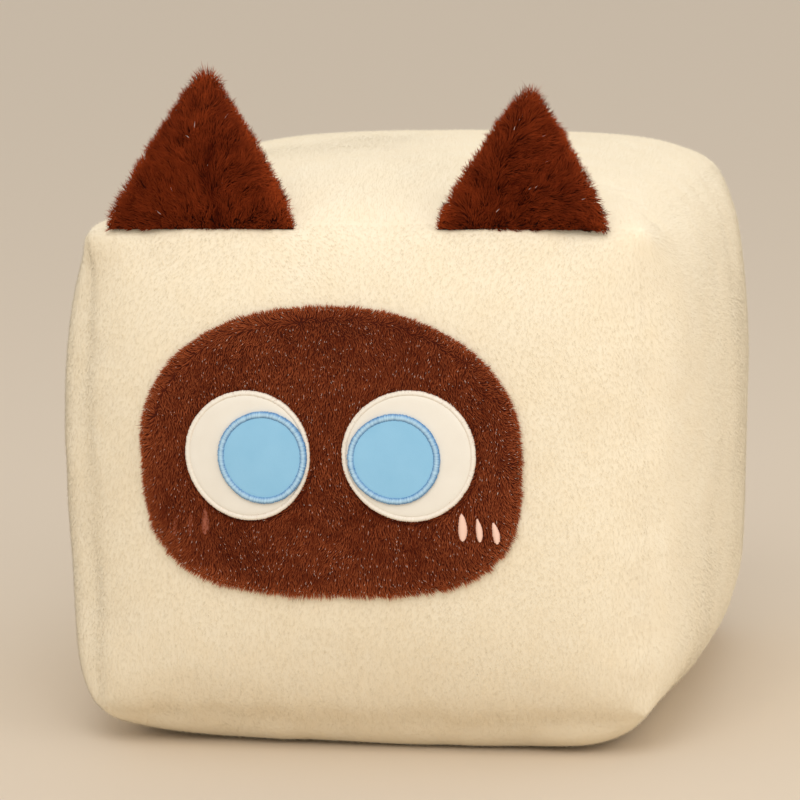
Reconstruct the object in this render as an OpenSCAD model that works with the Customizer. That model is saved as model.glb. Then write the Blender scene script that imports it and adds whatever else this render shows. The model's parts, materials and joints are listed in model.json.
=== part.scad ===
// Plush cat cushion: six stuffed plush panels sewn into a soft cube, with two
// sewn-on ears and an embroidered face. Millimetres, +Z up, the face towards -Y.
// The origin is the middle of the resting face. Left and right are the viewer's.

/* [Body] */
// Distance between the left and right seams
seam_width = 300; // [240:5:360]
// Distance between the front and back seams
seam_depth = 300; // [240:5:360]
// Height of the top seams above the floor
seam_height = 282; // [240:2:340]
// Height of the bottom seams, where the weight rolls the lower edges under
floor_roll = 20; // [14:1:28]
// How far the stuffing pushes out the front panel
front_bulge = 28; // [18:1:34]
// How far the stuffing pushes out the back panel
back_bulge = 32; // [18:1:34]
// How far the stuffing pushes out the left panel
left_bulge = 30; // [18:1:34]
// How far the stuffing pushes out the right panel
right_bulge = 26; // [18:1:34]
// How far the stuffing pushes up the top panel
top_bulge = 28; // [18:1:30]
// Thickness of the plush, backing and pile together
plush = 7; // [4:0.5:9]

/* [Ears] */
// Width of the left ear along the seam
left_ear_width = 100; // [80:1:110]
// Height of the left ear above its root
left_ear_height = 73; // [55:1:90]
// Width of the right ear along the seam
right_ear_width = 89; // [80:1:110]
// Height of the right ear above its root
right_ear_height = 65; // [55:1:90]
// Distance from the middle of the body to the middle of the left ear
left_ear_offset = 83; // [70:1:88]
// Distance from the middle of the body to the middle of the right ear
right_ear_offset = 87; // [70:1:88]
// How far the tip of the left ear stands to the right of its middle
left_ear_sway = 5; // [-10:1:10]
// How far the tip of the right ear stands to the right of its middle
right_ear_sway = 6; // [-10:1:10]
// Thickness of an ear in its middle
ear_thickness = 22; // [18:1:26]
// How far the ears lean back, in degrees
ear_lean = 4; // [0:1:10]

/* [Face] */
// Sideways offset of the face from the middle of the front panel
face_offset = -13; // [-20:1:20]
// Height of the middle of the face patch
face_height = 168; // [150:1:175]
// Width of the face patch
patch_width = 202; // [180:1:220]
// Height of the face patch above its middle
patch_upper = 76; // [65:1:85]
// Depth of the face patch below its middle
patch_lower = 74; // [65:1:85]
// Diameter of each eye white, stitching included
eye_white_d = 68; // [50:1:72]
// Distance between the middles of the eye whites
eye_spacing = 86; // [78:1:95]
// Diameter of each iris, stitching included
iris_d = 47.6; // [36:0.2:50]
// Distance between the middles of the irises
iris_spacing = 71; // [66:1:80]
// Width of the satin stitching round the eyes
satin_width = 3; // [2:0.5:4]

/* [Hidden] */

cream = [0.96, 0.91, 0.79];
brown = [0.36, 0.16, 0.09];
dark_brown = [0.32, 0.12, 0.06];
eye_cream = [0.95, 0.92, 0.84];
eye_blue = [0.60, 0.78, 0.88];
pink = [0.95, 0.80, 0.70];
wadding = [0.97, 0.97, 0.95];

// Stuffed body
swell_power = 3.4;   // higher is flatter in the middle of a panel
swell_root = 0.51;   // lower is rounder at the seams
bottom_bulge = 36;   // the floor flattens this one
panel_cells = 14;    // cells along each edge of a panel's grid and of the filling's
face_panel_cells = 18;
seam_middle = (seam_height + floor_roll) / 2;
gap = 0.3;           // room between soft pieces
filling_inset = 3;   // the filling stays clear of the seam allowances
filling_gap = 1;     // and its middle this far inside the panels
thread_r = 0.5;
thread_inset = 1.2;  // from the inner seam corner to the thread

// Closing seam at the back, where the filling went in
closing_count = 15;
closing_pitch = 7;
closing_bar = 4.4;
closing_lift = 1.6;

// Appliqué layers, as heights above the front panel
patch_layer = [0.7, 3.4];
white_layer = [3.6, 4.8];
iris_layer = [5.0, 6.2];
satin_rise = 0.8;    // a satin stitch stands this much above its fabric
patch_upper_power = 2.22;
patch_lower_power = 3.25;
iris_drop = 2;       // the irises sit this much below the middle of the face
eye_drop = 1;

// Cheek marks, from the inner one outwards
mark_count = 3;
left_mark_start = [-67, -38]; // from the middle of the face
right_mark_start = [70.4, -38];
mark_step = [8.5, -1.5];
mark_heights = [14.5, 12.5, 11];
mark_widths = [5, 3.7, 3.9];
mark_tilt = 8;

// Ears
root_out = 6;        // the ear root's axis lies this far in front of the top seam
root_up = 9;         // and this far above it
root_drop = 7;       // the ear reaches this far below its axis
ear_taper = 0.66;    // 1 is a straight-sided triangle, less is rounder
ear_round = 0.6;     // how the thickness falls off at the root and the tip
ear_cells = 10;
ear_fabric = 5;
edge_half = 1.5;     // half the thickness at an ear's edge seam
hem_size = [2, 1.2]; // width and height of the hem caught in the body seam
hem_lift = 1.2;      // from the seam to the middle of the hem

// ---------- Stuffed panels ----------

// A panel's swelling at u, v in -1 to 1: 1 in the middle and 0 along the seams
function swell(u, v) =
    pow(max(0, 1 - pow(abs(u), swell_power)) * max(0, 1 - pow(abs(v), swell_power)), swell_root);

function bulge_of(axis, side) =
    let (pair = [[left_bulge, right_bulge], [front_bulge, back_bulge], [bottom_bulge, top_bulge]][axis])
    pair[side < 0 ? 0 : 1];

// A point of the stuffed skin. The panel's normal is an axis 0, 1 or 2 on side -1 or 1.
function skin_point(axis, side, u, v, inset, extra = 0, floor_z = 0) =
    let (
        half = [seam_width / 2 - inset, seam_depth / 2 - inset, (seam_height - floor_roll) / 2 - inset],
        out = (bulge_of(axis, side) + extra) * swell(u, v),
        next = (axis + 1) % 3,
        p = [for (i = [0:2]) i == axis ? side * (half[i] + out) : half[i] * (i == next ? u : v)]
    )
    [p.x, p.y, max(p.z + seam_middle, floor_z)];

// Grid positions from -1 to 1, closer together near the seams
function spread(n) = [for (i = [0:n]) i == 0 ? -1 : i == n ? 1 : sin(180 * i / n - 90)];

function skin_grid(axis, side, n, inset, extra = 0, floor_z = 0) =
    [for (v = spread(n)) for (u = spread(n)) skin_point(axis, side, u, v, inset, extra, floor_z)];

// Triangles of a grid of rows by columns whose first point has index first
function grid_faces(rows, cols, first = 0, flip = false) =
    [for (j = [0:rows - 1]) for (i = [0:cols - 1])
        let (
            a = first + j * (cols + 1) + i,
            b = a + 1,
            c = a + cols + 2,
            d = a + cols + 1
        )
        each flip ? [[a, b, c], [a, c, d]] : [[a, c, b], [a, d, c]]];

// Triangles of the wall that joins the borders of two grids of the same size
function border(rows, cols) = concat(
    [for (i = [0:cols]) i],
    [for (j = [1:rows]) j * (cols + 1) + cols],
    [for (i = [cols - 1:-1:0]) rows * (cols + 1) + i],
    [for (j = [rows - 1:-1:1]) j * (cols + 1)]
);
function wall_faces(rows, cols, flip = false) =
    let (edge = border(rows, cols), n = len(edge), shift = (rows + 1) * (cols + 1))
    [for (k = [0:n - 1])
        let (a = edge[k], b = edge[(k + 1) % n])
        each flip ? [[a, b + shift, b], [a, a + shift, b + shift]]
                  : [[a, b, b + shift], [a, b + shift, a + shift]]];

// A closed sheet between two grids of the same size
module sheet(outer, inner, rows, cols, flip = false) {
    polyhedron(
        points = concat(outer, inner),
        faces = concat(
            grid_faces(rows, cols, 0, flip),
            grid_faces(rows, cols, (rows + 1) * (cols + 1), !flip),
            wall_faces(rows, cols, flip)
        )
    );
}

module panel(axis, side, n = panel_cells) {
    sheet(
        skin_grid(axis, side, n, 0),
        skin_grid(axis, side, n, plush, 0, plush),
        n, n, side < 0
    );
}

module front_panel() { color(cream) panel(1, -1, face_panel_cells); }
module back_panel() { color(cream) panel(1, 1); }
module left_panel() { color(cream) panel(0, -1); }
module right_panel() { color(cream) panel(0, 1); }
module top_panel() { color(cream) panel(2, 1); }
module bottom_panel() { color(cream) panel(2, -1); }

module body_filling() {
    n = panel_cells;
    size = (n + 1) * (n + 1);
    sides = [for (axis = [0:2]) for (side = [-1, 1]) [axis, side]];
    color(wadding) polyhedron(
        points = [for (s = sides)
            each skin_grid(s[0], s[1], n, plush + filling_inset, filling_inset - filling_gap, plush + filling_gap)],
        faces = [for (k = [0:len(sides) - 1]) each grid_faces(n, n, k * size, sides[k][1] < 0)]
    );
}

// One straight run of thread inside each of the twelve body seams
module seam_thread() {
    inset = plush + thread_inset;
    half = [seam_width / 2 - inset, seam_depth / 2 - inset, (seam_height - floor_roll) / 2 - inset];
    turns = [[0, 90, 0], [-90, 0, 0], [0, 0, 0]];
    color(cream) for (axis = [0:2]) for (i = [-1, 1]) for (j = [-1, 1]) {
        next = (axis + 1) % 3;
        place = [for (k = [0:2]) k == axis ? 0 : half[k] * (k == next ? i : j)];
        length = 2 * (half[axis] - 2 * plush);
        translate(place + [0, 0, seam_middle]) rotate(turns[axis])
            cylinder(h = length, r = thread_r, center = true, $fn = 16);
    }
}

// Ladder stitches across the seam between the back and bottom panels
module closing_stitches() {
    color(cream) for (i = [0:closing_count - 1])
        translate([(i - (closing_count - 1) / 2) * closing_pitch, seam_depth / 2, floor_roll])
            rotate([45, 0, 0]) translate([0, 0, -closing_lift]) rotate([90, 0, 0])
                cylinder(h = closing_bar, r = thread_r, center = true, $fn = 16);
}

// ---------- Face ----------

// A point on the front at x, z that stands h proud of the panel
function front_point(x, z, h) =
    let (v = (z - seam_middle) / ((seam_height - floor_roll) / 2))
    [x, -(seam_depth / 2 + front_bulge * swell(x / (seam_width / 2), v)) - h, z];

// A flat piece or ring laid on the front. Its outline is a function of the angle, and its
// section is a list of [fraction of the outline, height]. A disc starts and ends at 0.
module laid_piece(centre, outline, section, steps = 48, tilt = 0) {
    is_disc = section[0][0] == 0;
    rows = is_disc ? [for (k = [1:len(section) - 2]) section[k]] : section;
    place = function(f, h, a)
        let (r = f * outline(a), x = r * cos(a), z = r * sin(a))
        front_point(
            centre.x + x * cos(tilt) - z * sin(tilt),
            centre.y + x * sin(tilt) + z * cos(tilt),
            h
        );
    ring = [for (row = rows) for (i = [0:steps - 1]) place(row[0], row[1], 360 * i / steps)];
    poles = is_disc ? [place(0, section[0][1], 0), place(0, section[len(section) - 1][1], 0)] : [];
    count = len(rows);
    last = count - (is_disc ? 2 : 1);
    quads = [for (j = [0:last]) for (i = [0:steps - 1])
        let (
            k = (i + 1) % steps,
            up = (j + 1) % count,
            a = j * steps + i,
            b = j * steps + k,
            c = up * steps + k,
            d = up * steps + i
        )
        each [[a, c, b], [a, d, c]]];
    caps = is_disc ? [for (i = [0:steps - 1])
        let (k = (i + 1) % steps, low = count * steps, high = low + 1, top = (count - 1) * steps)
        each [[low, i, k], [high, top + k, top + i]]] : [];
    polyhedron(points = concat(ring, poles), faces = concat(quads, caps));
}

// Sections
function disc_section(layer) =
    [[0, layer[0]], [0.5, layer[0]], [1, layer[0]], [1, layer[1]], [0.5, layer[1]], [0, layer[1]]];
function satin_section(layer, inner) =
    let (middle = (1 + inner) / 2, top = layer[1] + satin_rise)
    [[inner, layer[0]], [1, layer[0]], [1, layer[1]], [middle, top], [inner, layer[1]]];

circle_outline = function(r) function(a) r;
ellipse_outline = function(a_half, b_half) function(a)
    1 / sqrt(pow(cos(a) / a_half, 2) + pow(sin(a) / b_half, 2));
patch_outline = function(scale_by) function(a)
    let (
        high = sin(a) > 0,
        power = high ? patch_upper_power : patch_lower_power,
        rise = high ? patch_upper : patch_lower,
        side = pow(abs(cos(a)) / (patch_width / 2), power) + pow(abs(sin(a)) / rise, power)
    )
    scale_by * pow(side, -1 / power);

face_middle = [face_offset, face_height];
function eye_middle(side) = face_middle + [side * eye_spacing / 2, -eye_drop];
function iris_middle(side) = face_middle + [side * iris_spacing / 2, -iris_drop];

module face_patch() {
    color(brown) laid_piece(face_middle, patch_outline(1),
        [[0, patch_layer[0]], [0.35, patch_layer[0]], [0.7, patch_layer[0]], [1, patch_layer[0]],
         [1, patch_layer[1] - 1], [0.985, patch_layer[1]], [0.7, patch_layer[1]],
         [0.35, patch_layer[1]], [0, patch_layer[1]]], 72);
}

// The thread that holds the patch, just outside its edge and under its pile
module face_patch_thread() {
    inner = patch_width / 2 + 0.3;
    grow = (inner + 2 * thread_r) / (patch_width / 2);
    middle = (1 + inner / (inner + 2 * thread_r)) / 2;
    low = patch_layer[0];
    color(brown) laid_piece(face_middle, patch_outline(grow),
        [[inner / (inner + 2 * thread_r), low + thread_r], [middle, low],
         [1, low + thread_r], [middle, low + 2 * thread_r]], 72);
}

module eye_disc(centre, d, layer) {
    laid_piece(centre, circle_outline(d / 2 - satin_width - gap / 3), disc_section(layer));
}
module satin_ring(centre, d, layer) {
    laid_piece(centre, circle_outline(d / 2), satin_section(layer, 1 - 2 * satin_width / d));
}

module left_eye_white() { color(eye_cream) eye_disc(eye_middle(-1), eye_white_d, white_layer); }
module right_eye_white() { color(eye_cream) eye_disc(eye_middle(1), eye_white_d, white_layer); }
module left_eye_white_stitching() { color(eye_cream) satin_ring(eye_middle(-1), eye_white_d, white_layer); }
module right_eye_white_stitching() { color(eye_cream) satin_ring(eye_middle(1), eye_white_d, white_layer); }
module left_iris() { color(eye_blue) eye_disc(iris_middle(-1), iris_d, iris_layer); }
module right_iris() { color(eye_blue) eye_disc(iris_middle(1), iris_d, iris_layer); }
module left_iris_stitching() { color(eye_blue) satin_ring(iris_middle(-1), iris_d, iris_layer); }
module right_iris_stitching() { color(eye_blue) satin_ring(iris_middle(1), iris_d, iris_layer); }

// Three embroidered strokes that get shorter outwards
module cheek_marks(side, start) {
    for (k = [0:mark_count - 1])
        laid_piece(
            face_middle + start + k * [side * mark_step.x, mark_step.y],
            ellipse_outline(mark_widths[k] / 2, mark_heights[k] / 2),
            disc_section(white_layer), 20, side * mark_tilt
        );
}
module left_cheek_marks() { color(pink) cheek_marks(-1, left_mark_start); }
module right_cheek_marks() { color(pink) cheek_marks(1, right_mark_start); }

// ---------- Ears ----------

root_y = -seam_depth / 2 - root_out;
root_z = seam_height + root_up;

function ear_width(side) = side < 0 ? left_ear_width : right_ear_width;
function ear_height(side) = side < 0 ? left_ear_height : right_ear_height;
function ear_sway(side) = side < 0 ? left_ear_sway : right_ear_sway;
function ear_middle(side) = side < 0 ? -left_ear_offset : right_ear_offset;

// Half the ear's thickness at s across and t up, as a fraction of its thickest place
function ear_lens(s, t) = sqrt(max(0, 1 - s * s)) * pow(sin(180 * t), ear_round);

// A point of the ear, with its root axis at the origin and y given as a function of the lens
function ear_grid(side, s_end, t_range, half_of) =
    [for (j = [0:ear_cells]) for (i = [0:ear_cells])
        let (
            s = s_end * sin(180 * i / ear_cells - 90),
            t = t_range[0] + (t_range[1] - t_range[0]) * j / ear_cells,
            x = s * ear_width(side) / 2 * pow(1 - t, ear_taper) + t * ear_sway(side)
        )
        [x, half_of(ear_lens(s, t)), t * (ear_height(side) + root_drop) - root_drop]];

module place_ear(side) {
    translate([ear_middle(side), root_y, root_z]) rotate([-ear_lean, 0, 0]) children();
}

// One fabric face of an ear: facing is -1 for the front and 1 for the back
module ear_face(side, facing) {
    depth = ear_thickness / 2;
    outer = ear_grid(side, 1, [0, 0.995], function(k) facing * (edge_half + (depth - edge_half) * k));
    inner = ear_grid(side, 1, [0, 0.995], function(k) facing * (gap / 2 + (depth - ear_fabric) * k));
    place_ear(side) sheet(outer, inner, ear_cells, ear_cells, facing > 0);
}

module ear_filling(side) {
    depth = ear_thickness / 2 - ear_fabric;
    back = ear_grid(side, 0.9, [0.1, 0.9], function(k) depth * k - gap);
    front = ear_grid(side, 0.9, [0.1, 0.9], function(k) gap - depth * k);
    place_ear(side) sheet(front, back, ear_cells, ear_cells, false);
}

// The raw edge of the ear, caught in the seam between the front and top panels
module ear_hem(side) {
    translate([ear_middle(side), -seam_depth / 2, seam_height]) rotate([45, 0, 0])
        translate([0, 0, hem_lift])
            cube([ear_width(side) - 2 * ear_fabric, hem_size[0], hem_size[1]], center = true);
}

module left_ear_hem() { color(dark_brown) ear_hem(-1); }
module left_ear_front() { color(dark_brown) ear_face(-1, -1); }
module left_ear_back() { color(dark_brown) ear_face(-1, 1); }
module left_ear_filling() { color(wadding) ear_filling(-1); }
module right_ear_hem() { color(dark_brown) ear_hem(1); }
module right_ear_front() { color(dark_brown) ear_face(1, -1); }
module right_ear_back() { color(dark_brown) ear_face(1, 1); }
module right_ear_filling() { color(wadding) ear_filling(1); }

front_panel();
back_panel();
left_panel();
right_panel();
top_panel();
bottom_panel();
seam_thread();
closing_stitches();
body_filling();
face_patch();
face_patch_thread();
left_cheek_marks();
right_cheek_marks();
left_eye_white();
right_eye_white();
left_eye_white_stitching();
right_eye_white_stitching();
left_iris();
right_iris();
left_iris_stitching();
right_iris_stitching();
left_ear_hem();
left_ear_front();
left_ear_back();
left_ear_filling();
right_ear_hem();
right_ear_front();
right_ear_back();
right_ear_filling();
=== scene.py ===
"""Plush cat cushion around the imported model.

Metres, +Z up, the face towards -Y. Left and right are the viewer's, seen from the front.
"""
import itertools
import json
import math

import bpy
import numpy as np
from mathutils import Matrix, Vector


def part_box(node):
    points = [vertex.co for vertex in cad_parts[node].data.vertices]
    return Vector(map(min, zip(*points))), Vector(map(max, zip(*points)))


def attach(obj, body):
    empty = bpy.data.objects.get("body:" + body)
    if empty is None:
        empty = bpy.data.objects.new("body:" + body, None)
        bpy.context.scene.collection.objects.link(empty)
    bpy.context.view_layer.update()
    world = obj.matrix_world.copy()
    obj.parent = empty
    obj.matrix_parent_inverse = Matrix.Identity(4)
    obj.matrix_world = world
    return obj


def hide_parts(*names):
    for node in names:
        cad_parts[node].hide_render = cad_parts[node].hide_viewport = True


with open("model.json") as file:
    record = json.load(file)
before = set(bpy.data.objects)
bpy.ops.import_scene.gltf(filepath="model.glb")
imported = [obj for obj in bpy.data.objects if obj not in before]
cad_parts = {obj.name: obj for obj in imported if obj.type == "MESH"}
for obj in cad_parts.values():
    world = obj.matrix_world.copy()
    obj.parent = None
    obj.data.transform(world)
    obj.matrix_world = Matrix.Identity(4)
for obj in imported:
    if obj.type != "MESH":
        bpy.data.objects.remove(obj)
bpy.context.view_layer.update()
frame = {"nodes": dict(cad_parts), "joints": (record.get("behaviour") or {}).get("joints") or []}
scene = bpy.context.scene
MM = 0.001

# ---------- Camera ----------
CAMERA_AZIMUTH = math.radians(12.0)
CAMERA_ELEVATION = math.radians(10.3)
CAMERA_ROLL = math.radians(-1.5)
CAMERA_DISTANCE = 2.035
CAMERA_AIM = Vector((-0.0113, -0.0024, 0.1644))
CAMERA_LENS = 162.0


def make_camera():
    back = Vector((
        math.sin(CAMERA_AZIMUTH) * math.cos(CAMERA_ELEVATION),
        -math.cos(CAMERA_AZIMUTH) * math.cos(CAMERA_ELEVATION),
        math.sin(CAMERA_ELEVATION),
    ))
    data = bpy.data.cameras.new("camera")
    data.lens = CAMERA_LENS
    camera = bpy.data.objects.new("camera", data)
    turn = (-back).to_track_quat("-Z", "Y").to_matrix().to_4x4() @ Matrix.Rotation(CAMERA_ROLL, 4, "Z")
    camera.matrix_world = Matrix.Translation(CAMERA_AIM + back * CAMERA_DISTANCE) @ turn
    scene.collection.objects.link(camera)
    scene.camera = camera


# ---------- Sizes, from the frame ----------
front_low, front_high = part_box("front_panel")
right_low, right_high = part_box("right_panel")
HALF_WIDTH = (front_high.x - front_low.x) / 2
HALF_DEPTH = (right_high.y - right_low.y) / 2
SEAM_LOW, SEAM_HIGH = front_low.z, front_high.z
SEAM_MIDDLE, HALF_RISE = (SEAM_HIGH + SEAM_LOW) / 2, (SEAM_HIGH - SEAM_LOW) / 2
HALF = np.array([HALF_WIDTH, HALF_DEPTH, HALF_RISE])
BOTTOM_BULGE = 36 * MM
SWELL_POWER, SWELL_ROOT = 3.4, 0.51

PANELS = {  # name: (axis of the normal, side, bulge)
    "front": (1, -1, -front_low.y - HALF_DEPTH),
    "back": (1, 1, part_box("back_panel")[1].y - HALF_DEPTH),
    "left": (0, -1, -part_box("left_panel")[0].x - HALF_WIDTH),
    "right": (0, 1, right_high.x - HALF_WIDTH),
    "top": (2, 1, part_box("top_panel")[1].z - SEAM_HIGH),
    "bottom": (2, -1, BOTTOM_BULGE),
}
GRID = 100  # cells along each side of a panel
SEAM_SMOOTHING = 22  # rounds of smoothing that close the pile over the seams
ROOT_DEPTH = 0.7 * MM  # the skins lie this far under the stuffed surface, where the pile ends
FABRIC = 2.5 * MM

patch_low, patch_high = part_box("face_patch")
HALF_PATCH = (patch_high.x - patch_low.x) / 2
FACE_X, FACE_Z = (patch_low.x + patch_high.x) / 2, 168 * MM
FACE = (FACE_X, FACE_Z)
PATCH_POWERS = (2.22, 3.25)  # above and below the middle of the face


# ---------- Numbers ----------
def noise(points, size, seed, channels=1):
    """Smooth noise from -1 to 1 at each point, in lumps about size across."""
    period = 32
    lattice = np.random.default_rng(seed).uniform(-1, 1, (period, period, period, channels))
    place = points / size + 100.5
    cell = np.floor(place).astype(int)
    part = place - cell
    part = part * part * (3 - 2 * part)
    total = np.zeros((len(points), channels))
    for corner in itertools.product((0, 1), repeat=3):
        weight = np.prod(np.where(np.array(corner, bool), part, 1 - part), axis=1)
        index = (cell + corner) % period
        total += weight[:, None] * lattice[index[:, 0], index[:, 1], index[:, 2]]
    return total if channels > 1 else total[:, 0]


def unit(vectors):
    return vectors / np.maximum(np.linalg.norm(vectors, axis=-1, keepdims=True), 1e-12)


def along_surface(vectors, normals):
    return vectors - normals * np.sum(vectors * normals, axis=-1, keepdims=True)


def ramp(values, start, end):
    """0 before start, 1 after end, smooth between."""
    part = np.clip((values - start) / (end - start), 0, 1)
    return part * part * (3 - 2 * part)


def circle(steps):
    return np.linspace(0, 2 * math.pi, steps, endpoint=False)


def cell_corners(grid):
    """The four corners of every cell, in order around it, of a grid or a stack of grids."""
    return grid[..., :-1, :-1], grid[..., :-1, 1:], grid[..., 1:, 1:], grid[..., 1:, :-1]


class Skin:
    """A grid of surface points with their outward normals."""

    def __init__(self, points, normals):
        self.points = points
        self.normals = normals

    def at(self, row, column):
        """Points and normals at fractional rows and columns."""
        rows, columns = self.points.shape[:2]
        i = np.clip(np.floor(row).astype(int), 0, rows - 2)
        j = np.clip(np.floor(column).astype(int), 0, columns - 2)
        a, b = (row - i)[:, None], (column - j)[:, None]

        def mixed(grid):
            low = grid[i, j] * (1 - b) + grid[i, j + 1] * b
            high = grid[i + 1, j] * (1 - b) + grid[i + 1, j + 1] * b
            return low * (1 - a) + high * a

        return mixed(self.points), unit(mixed(self.normals))

    def scatter(self, spacing, rng):
        """Evenly jittered places, spacing apart, as fractional rows and columns."""
        p = self.points
        d1, d2 = p[1:, 1:] - p[:-1, :-1], p[1:, :-1] - p[:-1, 1:]
        area = np.linalg.norm(np.cross(d1, d2), axis=2) / 2
        wanted = area / spacing**2
        count = np.floor(wanted + rng.random(wanted.shape)).astype(int)
        row, column = (np.repeat(cells.ravel(), count.ravel()) for cells in np.indices(count.shape))
        return row + rng.random(len(row)), column + rng.random(len(column))


# ---------- The stuffed body ----------
def lane(count):
    """Places from -1 to 1, closer together near both ends."""
    x = np.linspace(-1, 1, count + 1)
    return 0.5 * x + 0.5 * np.sin(x * math.pi / 2)


def swell(u, v):
    """How far the stuffing pushes a panel out at u, v, as a share of its bulge."""
    inside = np.clip(1 - np.abs(u) ** SWELL_POWER, 0, 1) * np.clip(1 - np.abs(v) ** SWELL_POWER, 0, 1)
    return inside**SWELL_ROOT


def box_grid(name):
    """A panel's grid on a box whose faces are at -1 and 1."""
    axis, side, _ = PANELS[name]
    v, u = np.meshgrid(lane(GRID), lane(GRID), indexing="ij")
    grid = np.zeros((GRID + 1, GRID + 1, 3))
    grid[..., axis] = side
    grid[..., (axis + 1) % 3] = u
    grid[..., (axis + 2) % 3] = v
    return grid


def body_skins():
    """Each panel's skin at the roots of its pile. The panels share their edges and normals there."""
    boxes = np.stack([box_grid(name) for name in PANELS])
    key = np.round(boxes.reshape(-1, 3) * 1e5).astype(int)
    _, first, index = np.unique(key, axis=0, return_index=True, return_inverse=True)
    index = index.reshape(boxes.shape[:3])
    points = np.stack([panel_points(name, box) for name, box in zip(PANELS, boxes)]).reshape(-1, 3)[first]
    points = smoothed(points, neighbours(index), SEAM_SMOOTHING)
    points[:, 2] = np.maximum(points[:, 2], 0)
    box = boxes.reshape(-1, 3)[first]
    normals = shared_normals(points, index, box)
    shape = surface_shape(points, box) + stuffed(points, normals, index, box)[first]
    roots = points + normals * (shape - ROOT_DEPTH)[:, None]
    roots[:, 2] = np.maximum(roots[:, 2], ROOT_DEPTH)
    normals = shared_normals(roots, index, box)
    return {name: Skin(roots[index[k]], normals[index[k]]) for k, name in enumerate(PANELS)}


def panel_points(name, box):
    """A panel before its seams are smoothed: a crowned face that stands on the floor."""
    axis, side, bulge = PANELS[name]
    points = box * HALF + [0, 0, SEAM_MIDDLE]
    points[..., axis] += side * bulge * swell(box[..., (axis + 1) % 3], box[..., (axis + 2) % 3])
    points[..., 2] = np.maximum(points[..., 2], 0)
    return points


def neighbours(index):
    """Every two points that are next to each other in a stack of grids, once."""
    pairs = np.concatenate([
        np.stack([index[:, :-1].ravel(), index[:, 1:].ravel()], axis=1),
        np.stack([index[:, :, :-1].ravel(), index[:, :, 1:].ravel()], axis=1),
    ])
    return np.unique(np.sort(pairs, axis=1), axis=0)


def smoothed(points, pairs, rounds):
    """Points moved towards the middle of their neighbours."""
    one, other = pairs.T
    count = len(points)
    degree = np.bincount(one, minlength=count) + np.bincount(other, minlength=count)
    for _ in range(rounds):
        total = np.stack([
            np.bincount(one, points[other, k], count) + np.bincount(other, points[one, k], count)
            for k in range(points.shape[1])
        ], axis=1)
        points = points + 0.5 * (total / degree[:, None] - points)
    return points


def shared_normals(points, index, outward):
    """Normals of all panels together, the same on both sides of a seam."""
    a, b, c, d = cell_corners(index)
    across = np.cross(points[c] - points[a], points[d] - points[b])
    across *= np.sign(np.sum(across * outward[a], axis=-1, keepdims=True))
    total = np.zeros_like(points)
    for corner in (a, b, c, d):
        for k in range(3):
            total[:, k] += np.bincount(corner.ravel(), across[..., k].ravel(), len(points))
    return unit(total)


CLOTH_STEP = 2  # the simulated cloth has every second point of the grid
CLOTH_UNDER = 1.5 * MM  # it starts this far inside the body, as it swells
CLOTH_SLACK = 0.008  # how much larger than the body the cloth is cut
CLOTH_CAP = 1.5 * MM
CLOTH_FRAMES = 20
WRINKLE_SHOWS = 0.5  # the pile fills the rest of each wrinkle


def stuffed(points, normals, index, box):
    """How far the wrinkles that a cloth simulation makes stand out, at every point of every panel."""
    size = GRID // CLOTH_STEP
    used, corner = np.unique(index[:, ::CLOTH_STEP, ::CLOTH_STEP], return_inverse=True)
    corner = corner.reshape(len(PANELS), size + 1, size + 1)
    quads = np.stack(cell_corners(corner), axis=-1)
    for k, (_, side, _) in enumerate(PANELS.values()):
        if side < 0:
            quads[k] = quads[k][..., ::-1]
    quads = quads.reshape(-1, 4)
    start = points[used] - normals[used] * CLOTH_UNDER
    held = (np.sort(np.abs(box[used]), axis=1)[:, 1] > 0.999) | (points[used, 2] < 1 * MM)
    moved = pressed_out(start, quads, held)
    height = np.sum((moved - start) * normals[used], axis=1, keepdims=True)
    pairs = neighbours(corner)
    wrinkles = np.clip(height - smoothed(height, pairs, 60), -CLOTH_CAP, CLOTH_CAP)
    wrinkles = smoothed(wrinkles, pairs, 3)[corner, 0]
    between = np.arange(GRID + 1) / CLOTH_STEP
    spread = np.maximum(0, 1 - np.abs(between[:, None] - np.arange(size + 1)[None]))
    return WRINKLE_SHOWS * (spread @ wrinkles @ spread.T).ravel()


def pressed_out(start, quads, held):
    """Blender's cloth under pressure from inside, held at some points."""
    cloth = mesh_object("cloth_sample", start, quads)
    pins = cloth.vertex_groups.new(name="pins")
    pins.add(np.nonzero(held)[0].tolist(), 1.0, "REPLACE")
    settings = cloth.modifiers.new("stuffing", "CLOTH").settings
    settings.quality = 6
    settings.bending_stiffness = 8
    settings.use_pressure = True
    settings.uniform_pressure_force = 4
    settings.shrink_min = -CLOTH_SLACK
    settings.vertex_group_mass = "pins"
    settings.effector_weights.gravity = 0
    for number in range(1, CLOTH_FRAMES + 1):
        scene.frame_set(number)
    result = cloth.evaluated_get(bpy.context.evaluated_depsgraph_get()).data
    places = np.empty(len(start) * 3, np.float32)
    result.vertices.foreach_get("co", places)
    scene.frame_set(1)
    bpy.data.objects.remove(cloth)
    return places.reshape(-1, 3)


def surface_shape(points, box):
    """How far lumps of filling, puckers, seams and settling move the surface out."""
    to_seam = (1 - np.sort(np.abs(box), axis=1)[:, 1]) * HALF_WIDTH
    lumps = 1.3 * MM * noise(points, 75 * MM, 11) + 0.4 * MM * noise(points, 28 * MM, 12)
    puckers = 0.8 * MM * noise(points, 15 * MM, 13) * np.exp(-to_seam / (16 * MM))
    return lumps + puckers + settling(points) - seam_valley(box, to_seam)


def seam_valley(box, to_seam):
    """The pile dips over the seams, most at the front left one."""
    to_left = np.hypot(1 + box[:, 0], 1 + box[:, 1]) * HALF_WIDTH
    left_dip = 1.5 * MM * np.exp(-((to_left / (5 * MM)) ** 2))
    return left_dip + 0.3 * MM * np.exp(-((to_seam / (4 * MM)) ** 2))


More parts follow.
